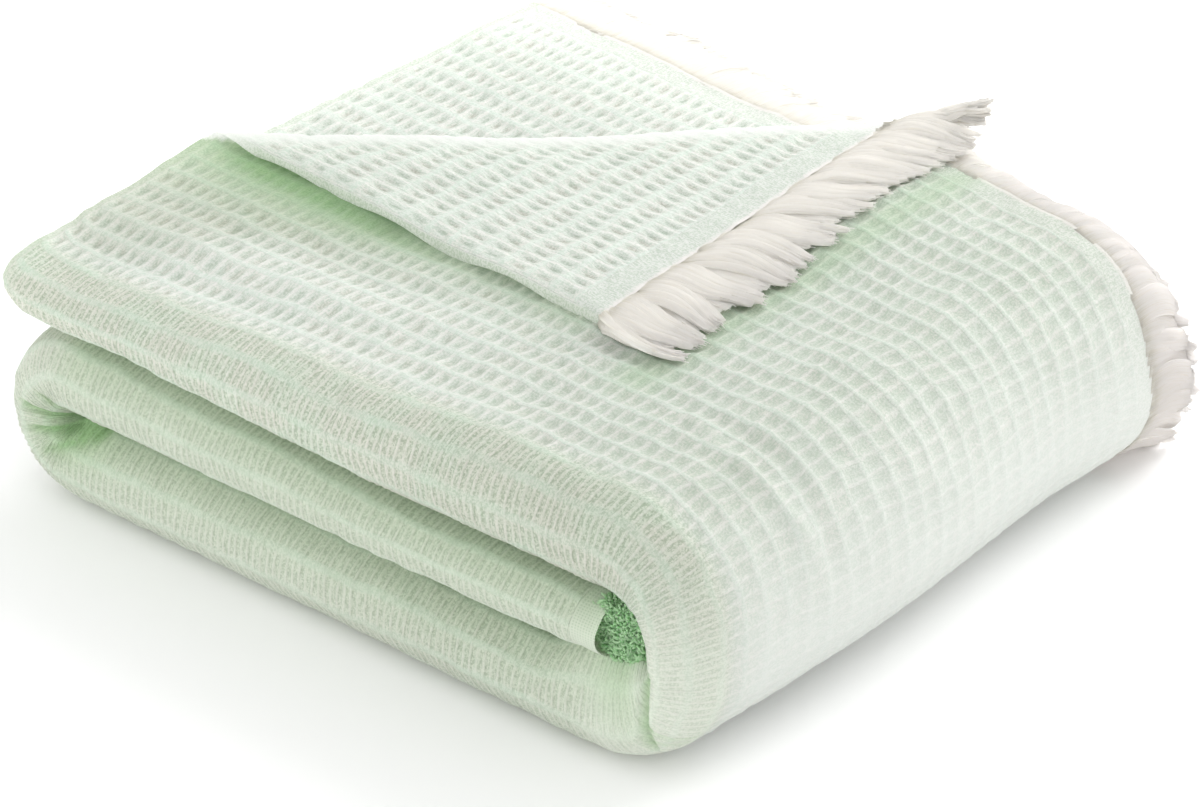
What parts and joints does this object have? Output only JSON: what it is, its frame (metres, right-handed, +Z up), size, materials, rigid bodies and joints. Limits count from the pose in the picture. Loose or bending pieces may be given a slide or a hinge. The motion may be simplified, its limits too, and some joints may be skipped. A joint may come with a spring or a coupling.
{
  "type": "waffle weave cotton blanket",
  "caption": "Waffle weave cotton blanket with fringed ends, folded in layers and rolled up, with a corner of the top layer folded over.",
  "frame": {"origin": "centre of the footprint, on the surface it lies on", "axes": "+Z up; -Y faces the folded front edges; +X points to the rounded side where the layers turn down"},
  "size_m": [0.4538, 0.4588, 0.1566],
  "materials": {
    "mint_cotton": "matt waffle weave in mint and white yarn",
    "undyed_cotton": "matt loose yarn"
  },
  "bodies": {
    "root": {"blanket": "mint_cotton", "fringe_top_end": "undyed_cotton", "fringe_second_end": "undyed_cotton"}
  },
  "joints": []
}
